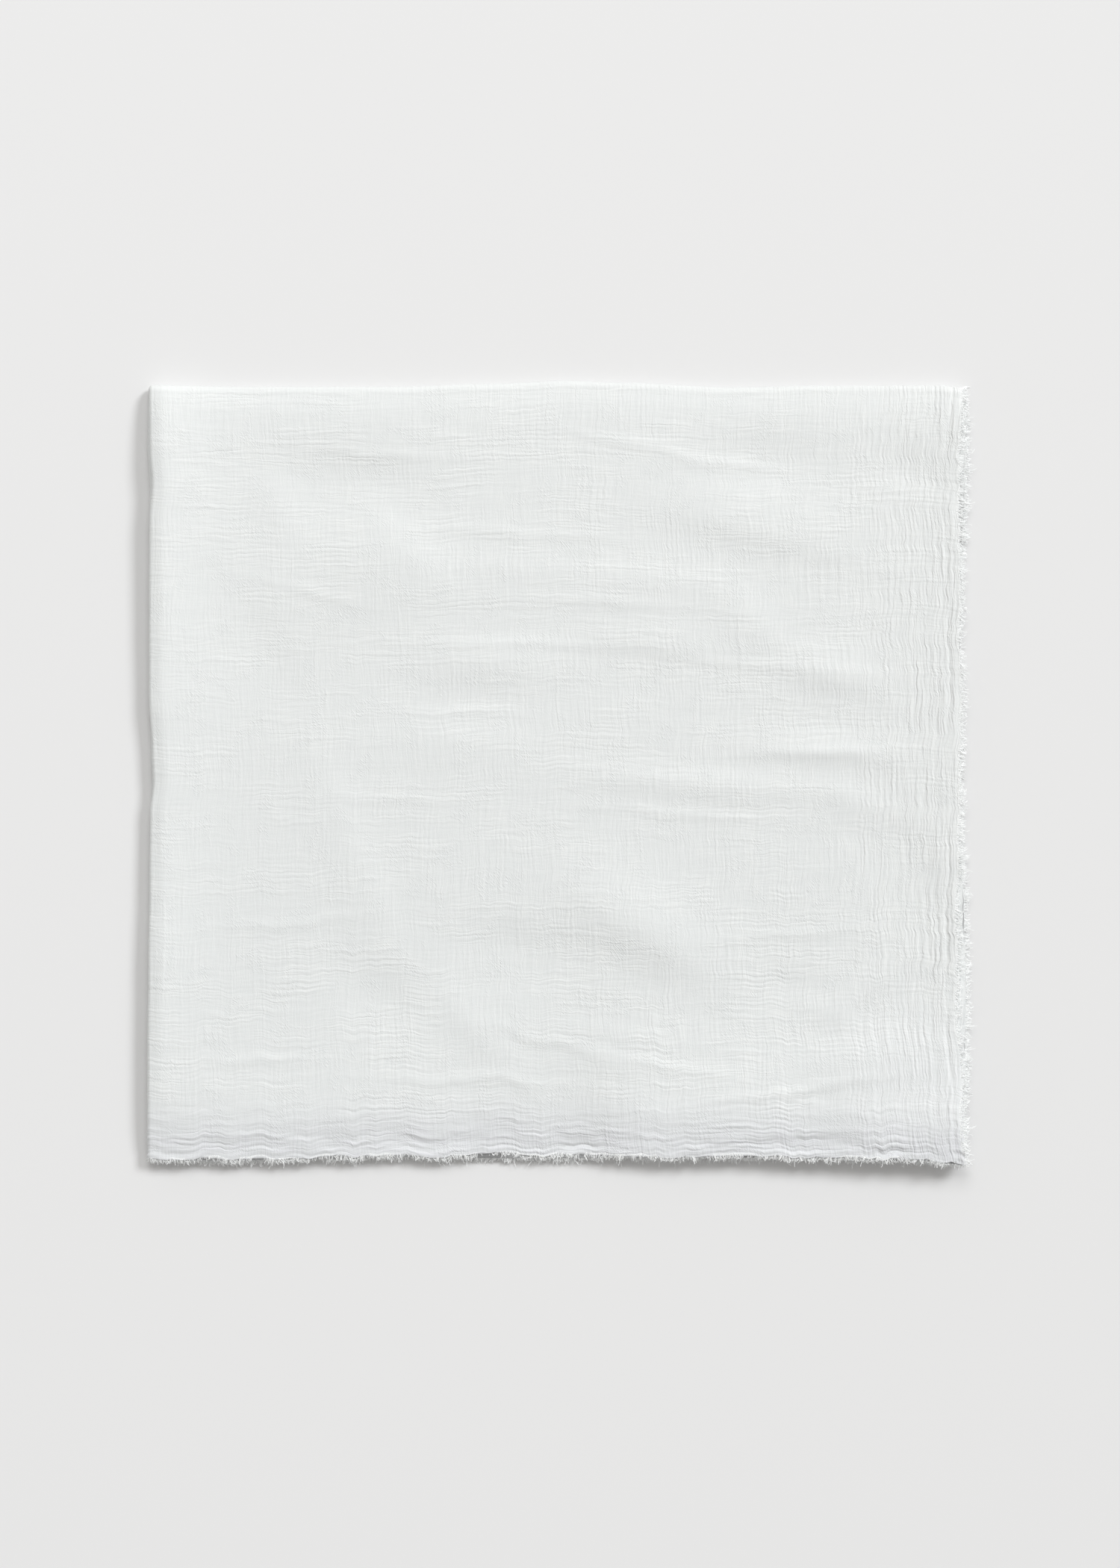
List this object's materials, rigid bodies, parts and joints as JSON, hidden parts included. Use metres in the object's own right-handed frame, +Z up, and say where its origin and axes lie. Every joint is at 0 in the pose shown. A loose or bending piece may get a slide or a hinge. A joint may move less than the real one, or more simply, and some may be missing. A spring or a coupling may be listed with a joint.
{
  "type": "folded crinkle scarf",
  "caption": "Nearly square crinkle gauze scarf folded in four and laid flat, with frayed raw edges.",
  "frame": {"origin": "middle of the folded stack's footprint, on the surface it lies on", "axes": "+Z up from the surface, +X from the first fold towards the frayed side, +Y towards the second fold"},
  "size_m": [0.555, 0.5302, 0.017],
  "materials": {
    "crinkle_gauze": "matte bleached cotton crepe gauze with a fine crinkle",
    "loose_yarn": "matte loose cotton yarn, frayed"
  },
  "bodies": {
    "root": {"cloth": "crinkle_gauze", "fringe_right_outer": "loose_yarn", "fringe_right_inner": "loose_yarn", "fringe_bottom_lower": "loose_yarn", "fringe_bottom_upper": "loose_yarn"}
  },
  "joints": []
}
